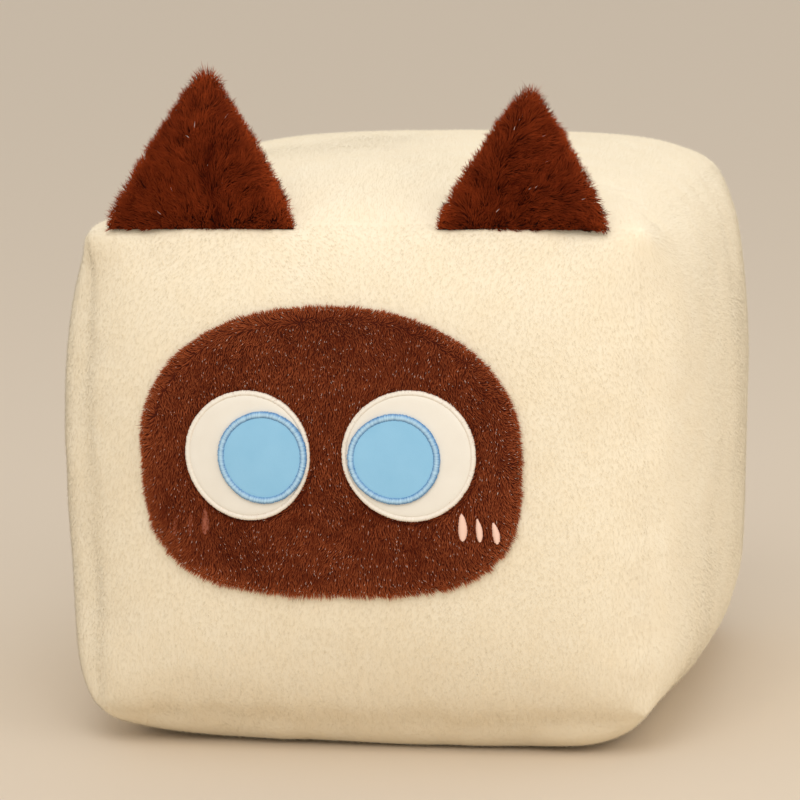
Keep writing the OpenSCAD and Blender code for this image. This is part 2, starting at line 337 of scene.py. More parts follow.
# Where the filling has settled or spread, in mm:
# (middle), (reach along x, y and z), how far the surface moves out
SETTLED = [
    ((-165, -60, 285), (50, 150, 65), -9.0),
    ((-180, -30, 175), (60, 120, 50), 3.0),
    ((-165, -110, 32), (45, 60, 32), 5.0),
    ((172, 10, 150), (50, 200, 130), 1.5),
    ((165, 60, 290), (60, 90, 50), 2.5),
    ((165, -10, 50), (50, 110, 24), 1.8),
    ((158, -80, 14), (34, 70, 16), -3.4),
    ((154, -148, 22), (28, 60, 26), -3.2),
    ((118, -150, 6), (26, 24, 10), 3.2),
    ((-40, -170, 8), (120, 30, 16), 2.0),
    ((-83, -152, 281), (60, 15, 13), 6.0),
    ((-135, -150, 277), (22, 16, 14), 4.5),
    ((87, -152, 281), (52, 15, 13), 5.5),
    ((137, -104, 296), (8, 6, 8), -1.6),
    ((126, -92, 300), (6, 6, 6), -1.3),
    ((150, -118, 285), (9, 7, 9), -1.2),
    ((160, -140, 240), (6, 9, 16), -0.8),
]


def settling(points):
    total = np.zeros(len(points))
    for middle, reach, amount in SETTLED:
        away = (points / MM - middle) / reach
        total += amount * MM * np.exp(-np.sum(away**2, axis=1))
    return total


# ---------- Meshes ----------
def mesh_object(name, vertices, *faces):
    """An object from arrays: each array of faces has one row of indices for each face."""
    mesh = bpy.data.meshes.new(name)
    mesh.vertices.add(len(vertices))
    mesh.vertices.foreach_set("co", np.ascontiguousarray(vertices, np.float32).ravel())
    corners = np.concatenate([part.ravel() for part in faces]).astype(np.int32)
    sizes = np.concatenate([np.full(len(part), part.shape[1]) for part in faces])
    starts = np.concatenate([[0], np.cumsum(sizes)[:-1]]).astype(np.int32)
    mesh.loops.add(len(corners))
    mesh.loops.foreach_set("vertex_index", corners)
    mesh.polygons.add(len(sizes))
    mesh.polygons.foreach_set("loop_start", starts)
    mesh.polygons.foreach_set("use_smooth", np.ones(len(sizes), bool))
    mesh.update(calc_edges=True)
    obj = bpy.data.objects.new(name, mesh)
    scene.collection.objects.link(obj)
    return obj


def place(obj, body, slot, material, *stands_for):
    """Gives a piece its material, and ties it to the frame."""
    obj.data.materials.append(material)
    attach(obj, body)
    if stands_for:
        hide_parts(*stands_for)


def fabric_piece(name, outer, normals, inner, flip):
    """A closed sheet between two grids of points, shaded as one surface with its neighbours."""
    rows, columns = outer.shape[:2]
    index = np.arange(rows * columns).reshape(rows, columns)
    edge = np.concatenate([index[0, :-1], index[:-1, -1], index[-1, :0:-1], index[:0:-1, 0]])
    after, shift = np.roll(edge, -1), rows * columns
    a, b, c, d = (corner.ravel() for corner in cell_corners(index))
    quads = np.concatenate([
        np.stack([a, b, c, d], axis=1),
        np.stack([d, c, b, a], axis=1) + shift,
        np.stack([after, edge, edge + shift, after + shift], axis=1),
    ])
    if flip:
        quads = quads[:, ::-1]
    obj = mesh_object(name, np.concatenate([outer.reshape(-1, 3), inner.reshape(-1, 3)]), quads)
    facing = normals.reshape(-1, 3)
    obj.data.normals_split_custom_set_from_vertices(np.concatenate([facing, -facing]).tolist())
    return obj


def rolled_piece(name, rings, joined):
    """A closed mesh from rings of points. The first and last ring join, or each is filled to its middle."""
    rows, steps = rings.shape[:2]
    index = np.arange(rows * steps).reshape(rows, steps)
    after = np.roll(index, -1, axis=1)
    if joined:
        high, high_after = np.roll(index, -1, axis=0), np.roll(after, -1, axis=0)
        quads = np.stack([x.ravel() for x in (index, after, high_after, high)], axis=1)
        return mesh_object(name, rings.reshape(-1, 3), quads)
    quads = np.stack([x.ravel() for x in (index[:-1], after[:-1], after[1:], index[1:])], axis=1)
    low, high = rows * steps, rows * steps + 1
    caps = np.concatenate([
        np.stack([after[0], index[0], np.full(steps, low)], axis=1),
        np.stack([index[-1], after[-1], np.full(steps, high)], axis=1),
    ])
    poles = np.stack([rings[0].mean(axis=0), rings[-1].mean(axis=0)])
    return mesh_object(name, np.concatenate([rings.reshape(-1, 3), poles]), quads, caps)


def set_number(obj, name, values):
    attribute = obj.data.attributes.new(name, "FLOAT", "POINT")
    attribute.data.foreach_set("value", np.ascontiguousarray(values, np.float32))


TUFT_SHARE = 0.3  # of a tuft's own direction in its shading
TUFT_BEND_HEIGHT, TUFT_BEND_WIDTH = 0.55, 0.8  # where a bent tuft bends, and how wide it is there
FLOOR_GAP = 0.3 * MM  # the pile ends this far above the floor


def pile(name, roots, normals, leans, lengths, width, tones, rng, bend=0.0, roll=math.pi):
    """Pile as closed three-sided tufts: one straight segment, or two where bend isn't 0.
    Each tuft is turned by up to roll from having a flat side outwards."""
    count = len(roots)
    side = unit(np.cross(normals, leans) + 1e-9)
    turn = rng.uniform(-roll, roll, count) - math.pi / 2
    other = np.cross(leans, side)
    rings = []
    levels = [(0.0, 1.0)]
    if bend:
        levels.append((TUFT_BEND_HEIGHT, TUFT_BEND_WIDTH))
    for height, thickness in levels:
        centre = roots + leans * (lengths * height)[:, None]
        for k in range(3):
            angle = turn + k * 2 * math.pi / 3
            ray = side * np.cos(angle)[:, None] + other * np.sin(angle)[:, None]
            rings.append(centre + ray * (width * thickness))
    tip = roots + leans * lengths[:, None]
    if bend:
        tip += (along_surface(leans, normals) - 0.35 * normals) * (bend * lengths)[:, None]
    points = np.stack([*rings, tip], axis=1)
    points[..., 2] = np.maximum(points[..., 2], FLOOR_GAP)
    per = points.shape[1]
    local = [(0, 2, 1)]
    if bend:
        for k in range(3):
            n = (k + 1) % 3
            local += [(k, n, 3 + n), (k, 3 + n, 3 + k), (3 + k, 3 + n, 6)]
    else:
        local += [(0, 1, 3), (1, 2, 3), (2, 0, 3)]
    faces = ((np.arange(count) * per)[:, None, None] + np.array(local)[None]).reshape(-1, 3)
    obj = mesh_object(name, points.reshape(-1, 3), faces)
    heights = np.array([level[0] for level in levels for _ in range(3)] + [1.0])
    set_number(obj, "height", np.tile(heights, count))
    set_number(obj, "tone", np.repeat(tones, per))
    set_tuft_uvs(obj, count, heights, faces)
    shade_tufts(obj, points.reshape(-1, 3), faces, np.repeat(normals, len(local), axis=0))
    return obj


def shade_tufts(obj, points, faces, normals):
    """Each side is shaded partly by its own direction and partly by the skin's,
    as fibres pass light between them."""
    first, second, third = (points[faces[:, k]] for k in range(3))
    own = unit(np.cross(second - first, third - first))
    facing = unit(TUFT_SHARE * own + (1 - TUFT_SHARE) * normals)
    obj.data.normals_split_custom_set(np.repeat(facing, 3, axis=0).tolist())


def set_tuft_uvs(obj, count, heights, faces):
    """Each tuft gets its own small cell of the texture, with its root at the bottom."""
    across = np.array([(0.15, 0.85, 0.5)[k % 3] for k in range(len(heights) - 1)] + [0.5])
    up = 0.15 + 0.7 * heights
    up[2] += 0.1
    cells = math.ceil(math.sqrt(count))
    tuft = np.arange(count)
    u = ((tuft % cells)[:, None] + across[None]) / cells
    v = ((tuft // cells)[:, None] + up[None]) / cells
    uv = np.stack([u.ravel(), v.ravel()], axis=1)[faces.ravel()]
    layer = obj.data.uv_layers.new(name="OFBake")
    layer.uv.foreach_set("vector", np.ascontiguousarray(uv, np.float32).ravel())


# ---------- Materials ----------
def srgb(red, green, blue):
    """Linear colour from screen values of 0 to 255."""
    def linear(value):
        value /= 255
        return value / 12.92 if value <= 0.04045 else ((value + 0.055) / 1.055) ** 2.4
    return (linear(red), linear(green), linear(blue), 1.0)


def set_inputs(node, values):
    for name, value in values.items():
        node.inputs[name].default_value = value


def new_node(tree, kind, values):
    node = tree.nodes.new("ShaderNode" + kind)
    set_inputs(node, values)
    return node


def material(name, roughness, sheen=0.0, sheen_tint=(1, 1, 1, 1), specular=0.15):
    made = bpy.data.materials.new(name)
    made.use_nodes = True
    shader = made.node_tree.nodes["Principled BSDF"]
    set_inputs(shader, {
        "Roughness": roughness, "Specular IOR Level": specular,
        "Sheen Weight": sheen, "Sheen Roughness": 0.5, "Sheen Tint": sheen_tint,
    })
    return made, made.node_tree, shader


def link(tree, out_node, out_name, in_node, in_name):
    tree.links.new(out_node.outputs[out_name], in_node.inputs[in_name])


def attribute_node(tree, name):
    node = new_node(tree, "Attribute", {})
    node.attribute_name = name
    return node


def colour_mix(tree, factor, factor_name, low, high):
    """A mix of two colours. Each is a colour, or (node, output name)."""
    node = new_node(tree, "Mix", {})
    node.data_type = "RGBA"
    link(tree, factor, factor_name, node, "Factor")
    for colour, socket in ((low, node.inputs[6]), (high, node.inputs[7])):
        if isinstance(colour[0], float):
            socket.default_value = colour
        else:
            tree.links.new(colour[0].outputs[colour[1]], socket)
    return node


def pile_material(name, root, low_tip, high_tip, glint=None, sheen=0.3, specular=0.15):
    """Root to tip, with a tip colour between two by each tuft's tone. Tones above 1 have pale ends, painted
    glints.
    """
    made, tree, shader = material(name, 0.85, sheen, high_tip, specular)
    height, tone = attribute_node(tree, "height"), attribute_node(tree, "tone")
    tips = colour_mix(tree, tone, "Fac", low_tip, high_tip)
    blend = colour_mix(tree, height, "Fac", root, (tips, 2))
    # Tones above 1 give a tuft a pale end: a painted glint.
    if glint:
        step = new_node(tree, "Math", {1: 1.0})
        step.operation = "GREATER_THAN"
        link(tree, tone, "Fac", step, 0)
        end = new_node(tree, "MapRange", {"From Min": 0.5, "From Max": 0.7})
        link(tree, height, "Fac", end, "Value")
        both = new_node(tree, "Math", {})
        both.operation = "MULTIPLY"
        link(tree, step, 0, both, 0)
        link(tree, end, "Result", both, 1)
        blend = colour_mix(tree, both, 0, (blend, 2), glint)
    link(tree, blend, 2, shader, "Base Color")
    return made


def cloth_material(name, colour, dark, grain=0.6 * MM, bump=0.3):
    """Brushed or knitted cloth: mottled colour and a fine bump."""
    made, tree, shader = material(name, 0.85, 0.2, colour)
    where = new_node(tree, "TexCoord", {})
    mottle = new_node(tree, "TexNoise", {"Scale": 60, "Detail": 6})
    link(tree, where, "Object", mottle, "Vector")
    blend = colour_mix(tree, mottle, "Fac", dark, colour)
    link(tree, blend, 2, shader, "Base Color")
    fine = new_node(tree, "TexNoise", {"Scale": 1 / grain})
    link(tree, where, "Object", fine, "Vector")
    relief = new_node(tree, "Bump", {"Strength": bump, "Distance": 0.2 * MM})
    link(tree, fine, "Fac", relief, "Height")
    link(tree, relief, "Normal", shader, "Normal")
    return made


def satin_material(name, thread, groove_shade):
    """Glossy embroidery thread, with shade painted between the stitches and at their ends."""
    made, tree, shader = material(name, 0.42, 0.25, thread, 0.45)
    tone = attribute_node(tree, "tone")
    # Low tones take the painted shade colour.
    blend = colour_mix(tree, tone, "Fac", groove_shade, thread)
    link(tree, blend, 2, shader, "Base Color")
    return made


CREAM_TIP, CREAM_ROOT = srgb(246, 236, 212), srgb(242, 227, 196)
BROWN_ROOT, EAR_ROOT = srgb(94, 34, 14), srgb(46, 13, 4)

cream_pile = pile_material("cream_pile", CREAM_ROOT, srgb(242, 229, 202), CREAM_TIP)
cream_backing = cloth_material("cream_backing", CREAM_TIP, CREAM_ROOT)
# The last colour given to brown_pile and ear_pile is a painted glint, for the pale ends of a few tufts.
brown_pile = pile_material("brown_pile", BROWN_ROOT, srgb(127, 53, 24), srgb(226, 124, 74),
                           srgb(255, 240, 224), 0.15, 0.05)
brown_backing = cloth_material("brown_backing", BROWN_ROOT, srgb(48, 15, 6))
ear_pile = pile_material("ear_pile", EAR_ROOT, srgb(90, 26, 7), srgb(184, 78, 34),
                         srgb(226, 208, 200), 0.15, 0.05)
ear_backing = cloth_material("ear_backing", EAR_ROOT, srgb(34, 10, 4))
eye_felt = cloth_material("eye_felt", srgb(243, 239, 227), srgb(232, 226, 212), 0.5 * MM, 0.25)
iris_felt = cloth_material("iris_felt", srgb(154, 206, 237), srgb(136, 192, 226), 0.5 * MM, 0.3)
# The second colour of each satin is painted shade, for between the stitches and at their ends.
cream_satin = satin_material("cream_satin", srgb(248, 243, 230), srgb(226, 215, 197))
blue_satin = satin_material("blue_satin", srgb(188, 226, 247), srgb(52, 116, 174))
pink_satin = satin_material("pink_satin", srgb(250, 214, 194), srgb(222, 164, 138))
covered_pink = satin_material("covered_pink", srgb(178, 100, 74), srgb(120, 60, 42))
thread_cloth = cloth_material("thread_cloth", srgb(238, 222, 192), srgb(214, 194, 160), 0.3 * MM, 0.5)
brown_thread = cloth_material("brown_thread_cloth", srgb(84, 36, 20), srgb(60, 24, 12), 0.3 * MM, 0.5)
filling_cloth = cloth_material("filling_fibre", srgb(240, 240, 236), srgb(222, 222, 216), 2 * MM, 0.8)


# ---------- Body pieces ----------
BODY_PILE = {  # which way each panel's pile is brushed, and how far apart its tufts are
    "front": ((0.15, 0, -1), 1.2 * MM),
    "back": ((0.1, 0, -1), 1.42 * MM),
    "left": ((0, -0.3, -1), 1.38 * MM),
    "right": ((0, 0.8, -1), 1.38 * MM),
    "top": ((0.1, 1, 0), 1.41 * MM),
    "bottom": ((0.2, 1, 0), 1.5 * MM),
}
BODY_LENGTH = 1.9 * MM
BODY_WIDTH = 0.1 * MM
BODY_LEAN, UPRIGHT_LEAN = math.radians(62), math.radians(32)
UPRIGHT_SHARE = 0.05  # of the tufts stand up more than the others
BARE_UNDER = 3.2 * MM  # the resting face has no pile below this

skins = body_skins()


def patch_half(high):
    """The height and the roundness of the face patch's upper or lower half."""
    return np.where(high, patch_high.z - FACE_Z, FACE_Z - patch_low.z), np.where(high, *PATCH_POWERS)


def patch_share(x, z):
    """Below 1 inside the face patch's outline, and above 1 outside."""
    rise, power = patch_half(z > FACE_Z)
    return ((np.abs(x - FACE_X) / HALF_PATCH) ** power + (np.abs(z - FACE_Z) / rise) ** power) ** (1 / power)


def combed(normals, direction, points, wander, seed):
    """Unit directions along the surface, brushed one way with some wander."""
    swirl = noise(points, 60 * MM, seed, 3) * wander + noise(points, 14 * MM, seed + 1, 3) * wander * 0.3
    return unit(along_surface(np.asarray(direction) + swirl, normals))


def leaning(normals, comb, angle):
    return unit(normals * np.cos(angle)[:, None] + comb * np.sin(angle)[:, None])


def make_body_panel(name):
    _, side, _ = PANELS[name]
    skin = skins[name]
    rng = np.random.default_rng(100 + list(PANELS).index(name))
    inner = skin.points - skin.normals * FABRIC
    if name == "bottom":
        inner = skin.points + [0, 0, FABRIC]
    backing = fabric_piece(f"{name}_plush_backing", skin.points, skin.normals, inner, side < 0)
    place(backing, "body", "cream_plush", cream_backing, f"{name}_panel")
    nap, spacing = BODY_PILE[name]
    row, column = skin.scatter(spacing, rng)
    roots, normals = skin.at(row, column)
    keep = (roots[:, 2] > BARE_UNDER) | (normals[:, 2] > -0.97)
    if name == "front":
        keep &= patch_share(roots[:, 0], roots[:, 2]) > 0.99
    roots, normals = roots[keep], normals[keep]
    count = len(roots)
    comb = combed(normals, nap, roots, 0.7, 31)
    upright = rng.random(count) < UPRIGHT_SHARE
    lean = np.where(upright, UPRIGHT_LEAN, BODY_LEAN) + np.radians(8) * rng.standard_normal(count)
    clump = noise(roots, 5 * MM, 41, 3)
    direction = unit(leaning(normals, comb, lean) + 0.05 * clump + 0.06 * rng.standard_normal((count, 3)))
    lengths = BODY_LENGTH * (1 + 0.1 * rng.standard_normal(count)) * np.where(upright, 1.05, 1)
    tones = np.clip(0.5 + 0.25 * noise(roots, 30 * MM, 51) + 0.15 * rng.standard_normal(count), 0, 1)
    fur = pile(f"{name}_pile", roots, normals, direction, lengths, BODY_WIDTH, tones, rng, roll=0.3)
    place(fur, "body", "cream_plush", cream_pile)


def make_body_filling():
    """A lumpy ball of fibre inside the panels, as one closed mesh."""
    low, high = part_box("body_filling")
    middle, half = (np.array(low) + high) / 2, (np.array(high) - low) / 2
    rows, steps = 40, 72
    up = np.linspace(-math.pi / 2, math.pi / 2, rows + 2)[1:-1, None]
    turn = circle(steps)[None]
    rays = np.stack([np.cos(up) * np.cos(turn), np.cos(up) * np.sin(turn), np.sin(up) + 0 * turn], axis=-1)
    size = 1 / (np.sum(np.abs(rays) ** 5, axis=-1, keepdims=True) ** 0.2)
    rings = middle + rays * size * half * 0.94
    lumps = noise(rings.reshape(-1, 3), 24 * MM, 71).reshape(rows, steps, 1)
    filling = rolled_piece("body_fibre", rings + rays * lumps * 2 * MM, False)
    place(filling, "body", "fibre_filling", filling_cloth, "body_filling")


# ---------- The face ----------
def on_front(x, z, height):
    """Points this high above the front panel's surface, and their normals."""
    steps = np.arange(GRID + 1)
    row = np.interp(x / HALF_WIDTH, lane(GRID), steps)
    column = np.interp((z - SEAM_MIDDLE) / HALF_RISE, lane(GRID), steps)
    shape = np.broadcast(row, column).shape
    row, column = np.broadcast_to(row, shape).ravel(), np.broadcast_to(column, shape).ravel()
    points, normals = skins["front"].at(row, column)
    height = np.broadcast_to(height, shape).reshape(-1, 1)
    points = points + normals * (ROOT_DEPTH + height)
    return points.reshape(*shape, 3), normals.reshape(*shape, 3)


def patch_radius(angle):
    """The face patch's outline around its middle."""
    rise, power = patch_half(np.sin(angle) > 0)
    side = (np.abs(np.cos(angle)) / HALF_PATCH) ** power + (np.abs(np.sin(angle)) / rise) ** power
    return side ** (-1 / power)


def on_circle(centre, radius, angle):
    return centre[0] + radius * np.cos(angle), centre[1] + radius * np.sin(angle)


def laid_disc(name, centre, radius_of, sections, steps):
    """A flat piece on the front: its sections are (fraction of the radius, height) from below to above."""
    angle = circle(steps)
    radius = radius_of(angle)
    rings = [on_front(*on_circle(centre, share * radius, angle), height)[0] for share, height in sections]
    return rolled_piece(name, np.stack(rings), False)


def wobbly(radius, two, three, turn):
    """A hand-cut circle."""
    return lambda angle: radius * (1 + two * np.cos(2 * (angle - turn)) + three * np.cos(3 * (angle + turn)))


PATCH_BACKING = 1.1 * MM  # above the front panel's tips
PATCH_SPACING = 0.74 * MM
PATCH_LENGTH = 2.7 * MM
PATCH_WIDTH = 0.27 * MM
PATCH_LEAN, FRINGE_LEAN = math.radians(38), math.radians(66)
FRINGE_COUNT = 5200
# Tufts with this tone get a pale end, a painted glint.
GLINT_TONE = 1.2  # a tone that gives a tuft a pale end


def make_patch():
    shares = np.linspace(0.04, 0.985, 24)
    under = [(share, -1.7 * MM) for share in shares]
    over = [(share, PATCH_BACKING) for share in shares[::-1]]
    disc = laid_disc("face_patch_backing", FACE, patch_radius, under + over, 160)
    place(disc, "body", "brown_plush", brown_backing, "face_patch")
    rng = np.random.default_rng(200)
    make_patch_pile(rng)
    make_patch_fringe(rng)
    make_patch_thread()


def patch_places(rng):
    """Where the patch's tufts stand: not under the eyes and marks, and sparsely over one covered mark."""
    x, z = scattered(FACE_X - HALF_PATCH, FACE_X + HALF_PATCH, patch_low.z, patch_high.z, PATCH_SPACING, rng)
    keep = patch_share(x, z) < 0.99
    for eye in EYES.values():
        middle, radius = eye["white"]
        keep &= np.hypot(x - middle[0], z - middle[1]) > radius - 0.5 * MM
    for centre, length, width, tilt in RIGHT_MARKS:
        keep &= mark_share(x, z, centre, length, width, tilt) > 0.9
    x, z = x[keep], z[keep]
    bare = mark_share(x, z, *LEFT_MARKS[0])
    keep = (bare > 0.95) | (rng.random(len(x)) < 0.45)
    return x[keep], z[keep]


def make_patch_pile(rng):
    """The pile is brushed down in the middle, outwards at the edge and towards the eyes beside them."""
    x, z = patch_places(rng)
    roots, normals = on_front(x, z, PATCH_BACKING)
    count = len(roots)
    outward = np.stack([x - FACE_X, 0 * x, (z - FACE_Z) * 1.3], axis=1)
    edge = ramp(patch_share(x, z), 0.88, 1.0)[:, None]
    flow = np.array([0.25, 0, -1.0]) * (1 - edge) + unit(outward) * edge * 1.4
    to_eye = np.zeros((count, 3))
    near_eye = np.zeros(count)
    for eye in EYES.values():
        middle, radius = eye["white"]
        away = np.stack([middle[0] - x, 0 * x, middle[1] - z], axis=1)
        far = np.linalg.norm(away, axis=1)
        close = 1 - ramp(far, radius + 0.3 * MM, radius + 3.0 * MM)
        to_eye += unit(away) * close[:, None]
        near_eye = np.maximum(near_eye, close)
    swirl = noise(roots, 26 * MM, 61, 3) * 0.8 + noise(roots, 6 * MM, 62, 3) * 0.5
    comb = unit(along_surface(flow * (1 - 0.8 * near_eye[:, None]) + to_eye + swirl, normals))
    lean = PATCH_LEAN + np.radians(12) * rng.standard_normal(count) + np.radians(22) * edge[:, 0]
    direction = unit(leaning(normals, comb, lean) + 0.22 * noise(roots, 3.2 * MM, 63, 3)
                     + 0.12 * rng.standard_normal((count, 3)))
    lengths = PATCH_LENGTH * (1 + 0.12 * rng.standard_normal(count)) * (1 + 0.35 * near_eye)
    tones = np.clip(0.42 + 0.2 * noise(roots, 22 * MM, 64) + 0.22 * noise(roots, 3.2 * MM, 65)
                    + 0.15 * rng.standard_normal(count) + 0.25 * edge[:, 0], 0, 1)
    # A few tufts get pale ends: painted glints.
    tones[rng.random(count) < 0.03] = GLINT_TONE
    fur = pile("face_patch_pile", roots, normals, direction, lengths, PATCH_WIDTH, tones, rng)
    place(fur, "body", "brown_plush", brown_pile)


def make_patch_thread():
    """The stitching that holds the patch, under its pile."""
    angle = circle(240)
    rings = []
    for part in circle(6):
        share = 1.0 + (0.45 * MM * math.cos(part)) / HALF_PATCH
        radius = patch_radius(angle) * share
        height = 0.4 * MM * math.sin(part) + 0.1 * MM * np.sin(angle * 90) - 1.2 * MM
        rings.append(on_front(*on_circle(FACE, radius, angle), height)[0])
    thread = rolled_piece("face_patch_stitching", np.stack(rings), True)
    place(thread, "body", "brown_thread", brown_thread, "face_patch_thread")


def make_patch_fringe(rng):
    """Longer fibres that hang over the cut edge of the patch."""
    angle = rng.uniform(0, 2 * math.pi, FRINGE_COUNT)
    angle = angle[rng.random(FRINGE_COUNT) < patch_radius(angle) / HALF_PATCH]
    count = len(angle)
    radius = patch_radius(angle) * (1 - rng.uniform(0, 0.016, count))
    roots, normals = on_front(*on_circle(FACE, radius, angle), rng.uniform(-0.2, 1, count) * PATCH_BACKING)
    down = np.clip(-np.sin(angle), 0, 1)
    outward = np.stack([np.cos(angle), 0 * angle, np.sin(angle)], axis=1) + np.array([0.15, 0, -0.35])
    swirl = noise(roots, 5 * MM, 66, 3) * 0.55 + 0.15 * rng.standard_normal((count, 3))
    comb = unit(along_surface(outward + swirl, normals))
    lean = FRINGE_LEAN + np.radians(9) * rng.standard_normal(count)
    lengths = (2.4 + 1.3 * down + 0.5 * rng.standard_normal(count)) * MM
    lengths *= 1 + 0.3 * noise(roots, 4 * MM, 67)
    tones = np.clip(0.55 + 0.25 * rng.standard_normal(count), 0, 1)
    direction = leaning(normals, comb, lean)
    fringe = pile("face_patch_fringe", roots, normals, direction, lengths, PATCH_WIDTH, tones, rng)
    place(fringe, "body", "brown_plush", brown_pile)


def scattered(x_low, x_high, z_low, z_high, spacing, rng):
    """Jittered grid of places on a plane."""
    x, z = np.meshgrid(np.arange(x_low, x_high, spacing), np.arange(z_low, z_high, spacing))
    x = x.ravel() + rng.uniform(-0.6, 0.6, x.size) * spacing
    z = z.ravel() + rng.uniform(-0.6, 0.6, z.size) * spacing
    return x, z


def read_disc(node, shift_x, shift_z, grow):
    """A disc's middle and radius, a little off the collision shape's as the real one was laid by hand."""
    low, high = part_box(node)
    return ((low.x + high.x) / 2 + shift_x, (low.z + high.z) / 2 + shift_z), (high.x - low.x) / 2 * grow


EYES = {
    "left": {
        "white": read_disc("left_eye_white_stitching", 1.1 * MM, 0.5 * MM, 0.995),
        "iris": read_disc("left_iris_stitching", 2 * MM, 0.9 * MM, 1.01),
    },
    "right": {
        "white": read_disc("right_eye_white_stitching", 0.5 * MM, 1.3 * MM, 1.02),
        "iris": read_disc("right_iris_stitching", 0.5 * MM, 0.8 * MM, 1.01),
    },
}
EYE_DOME = 0.5 * MM
SATIN_WIDTH = 3 * MM
STITCH = 0.5 * MM


def satin_ring(name, centre, radius_of, width, low, rise, rng):
    """Radial stitches, each a rib with its own ends, laid over the edge of a fabric disc."""
    rough = radius_of(np.zeros(1))[0]
    stitches = round(2 * math.pi * rough / STITCH)
    column = np.arange(2 * stitches)
    crest = (column % 2)[None]
    angle = math.pi * column / stitches
    ends = np.repeat(rng.normal(0, 0.1 * MM, (2, stitches)), 2, axis=1)
    across = np.linspace(0, 1, 8)[:, None]
    radius = radius_of(angle)[None]
    outer, inner = radius + ends[0][None], radius - width + ends[1][None]
    place_r = outer + (inner - outer) * across
    lift = np.sin(math.pi * (0.06 + 0.88 * across)) ** 0.55
    height = low + rise * lift + (0.08 * MM * crest - 0.04 * MM) * lift
    turned = angle[None] + (across - 0.5) * 0.35 * MM / radius
    place_r = np.concatenate([outer, place_r, inner])
    turned = np.concatenate([turned[:1], turned, turned[-1:]])
    bottom = np.full((1, height.shape[1]), low - 1.2 * MM)
    height = np.concatenate([bottom, height, bottom])
    obj = rolled_piece(name, on_front(*on_circle(centre, place_r, turned), height)[0], True)
    thread = np.repeat(rng.normal(0, 0.09, stitches), 2)[None]
    # Painted shade: the tone falls towards the ring's edges and between the stitches.
    middle = np.sin(math.pi * np.clip(across, 0.02, 0.98)) ** 1.5
    tone = 0.05 + 0.9 * middle * (0.75 + 0.25 * crest) + thread
    tone = np.concatenate([tone[:1], tone, tone[-1:]])
    set_number(obj, "tone", np.clip(tone, 0, 1).ravel())
    return obj


def felt_disc(name, centre, radius_of, low, top):
    """A padded disc: its edge is at top, and its middle stands EYE_DOME higher."""
    shares = np.linspace(0.05, 1, 20)
    under = [(share, low) for share in shares]
    over = [(share, top + EYE_DOME * (1 - share**2) - 0.5 * MM * ramp(share, 0.93, 1))
            for share in shares[::-1]]
    return laid_disc(name, centre, radius_of, under + over, 96)


EYE_LAYERS = {  # CAD name; wobble; felt, its underside and edge; satin, its width, its start and rise
    "white": ("eye_white", (0.012, 0.007, 0.9), ("white_felt", eye_felt), (2.4 * MM, 3.9 * MM),
              ("white_satin_stitch", cream_satin), (SATIN_WIDTH * 0.9, 3.2 * MM, 0.85 * MM)),
    "iris": ("iris", (0.014, 0.01, 0.8), ("blue_felt", iris_felt), (3.8 * MM, 5.3 * MM),
             ("blue_satin_stitch", blue_satin), (SATIN_WIDTH * 1.15, 4.8 * MM, 1.2 * MM)),
}


def make_eye(side):
    rng = np.random.default_rng(300 if side == "left" else 301)
    side_turn = 0.5 if side == "left" else 2.4
    inset = 0.55 * SATIN_WIDTH
    for layer, (node, (two, three, turn), felt, heights, satin, sizes) in EYE_LAYERS.items():
        centre, radius = EYES[side][layer]
        outline = wobbly(radius, two, three, side_turn + turn)
        piece = felt_disc(f"{side}_{layer}_felt", centre, lambda angle: outline(angle) - inset, *heights)
        place(piece, "body", *felt, f"{side}_{node}")
        piece = satin_ring(f"{side}_{layer}_satin", centre, outline, *sizes, rng)
        place(piece, "body", *satin, f"{side}_{node}_stitching")


MARK_SIZES = ((14.3 * MM, 4.7 * MM), (12 * MM, 3.4 * MM), (11.2 * MM, 3.7 * MM))
MARK_STEP, MARK_FALL = 8.5 * MM, 1.5 * MM  # from each mark to the next


def read_marks(side):
    """The cheek marks, as (middle, length, width, tilt), from the inner one outwards."""
    low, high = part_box(f"{side}_cheek_marks")
    sign = -1 if side == "left" else 1
    inner_x = high.x - 2.9 * MM if side == "left" else low.x + 2.9 * MM
    top_z = high.z - 6 * MM
    return [((inner_x + sign * MARK_STEP * k, top_z - MARK_FALL * k), *size, sign * math.radians(2 + 4 * k))
            for k, size in enumerate(MARK_SIZES)]


LEFT_MARKS, RIGHT_MARKS = read_marks("left"), read_marks("right")


def mark_share(x, z, centre, length, width, tilt):
    """Below 1 inside a mark, and above 1 outside."""
    dx, dz = x - centre[0], z - centre[1]
    along = dz * math.cos(tilt) - dx * math.sin(tilt)
    across = dx * math.cos(tilt) + dz * math.sin(tilt)
    return np.hypot(along / (length / 2), across / (width / 2))


def satin_leaf(centre, length, width, tilt, low, rise, rng):
    """Rings of points along a leaf of stitches that cross it."""
    stitches = round(length / STITCH)
    row = np.arange(2 * stitches + 1)
    along = (row / stitches - 1) * length / 2
    share = along / (length / 2)
    half = width / 2 * np.sqrt(np.clip(1 - np.abs(share) ** 1.7, 0.01, 1)) * (1 - 0.22 * share)
    half = half + np.repeat(rng.normal(0, 0.09 * MM, stitches + 1), 2)[: len(row)]
    half = np.maximum(half, 0.15 * MM)
    around = np.linspace(0, 1, 7)
    across = np.concatenate([2 * around - 1, [0.6, -0.6]])[None] * half[:, None]
    lift = np.concatenate([np.sin(math.pi * (0.05 + 0.9 * around)) ** 0.6, [-1.0, -1.0]])[None]
    crest = (row % 2)[:, None]
    height = low + rise * lift + np.where(lift > 0, 0.1 * MM * crest, 0)
    bow = 0.35 * MM * (1 - share**2)
    x = centre[0] + (across + bow[:, None]) * math.cos(tilt) - along[:, None] * math.sin(tilt)
    z = centre[1] + across * math.sin(tilt) + along[:, None] * math.cos(tilt)
    # Painted shade: the tone falls towards the leaf's edges, under it and between the stitches.
    tone = np.clip(0.2 + 0.8 * np.maximum(lift, 0) * (0.75 + 0.25 * crest), 0, 1)
    return on_front(x, z, height)[0], tone


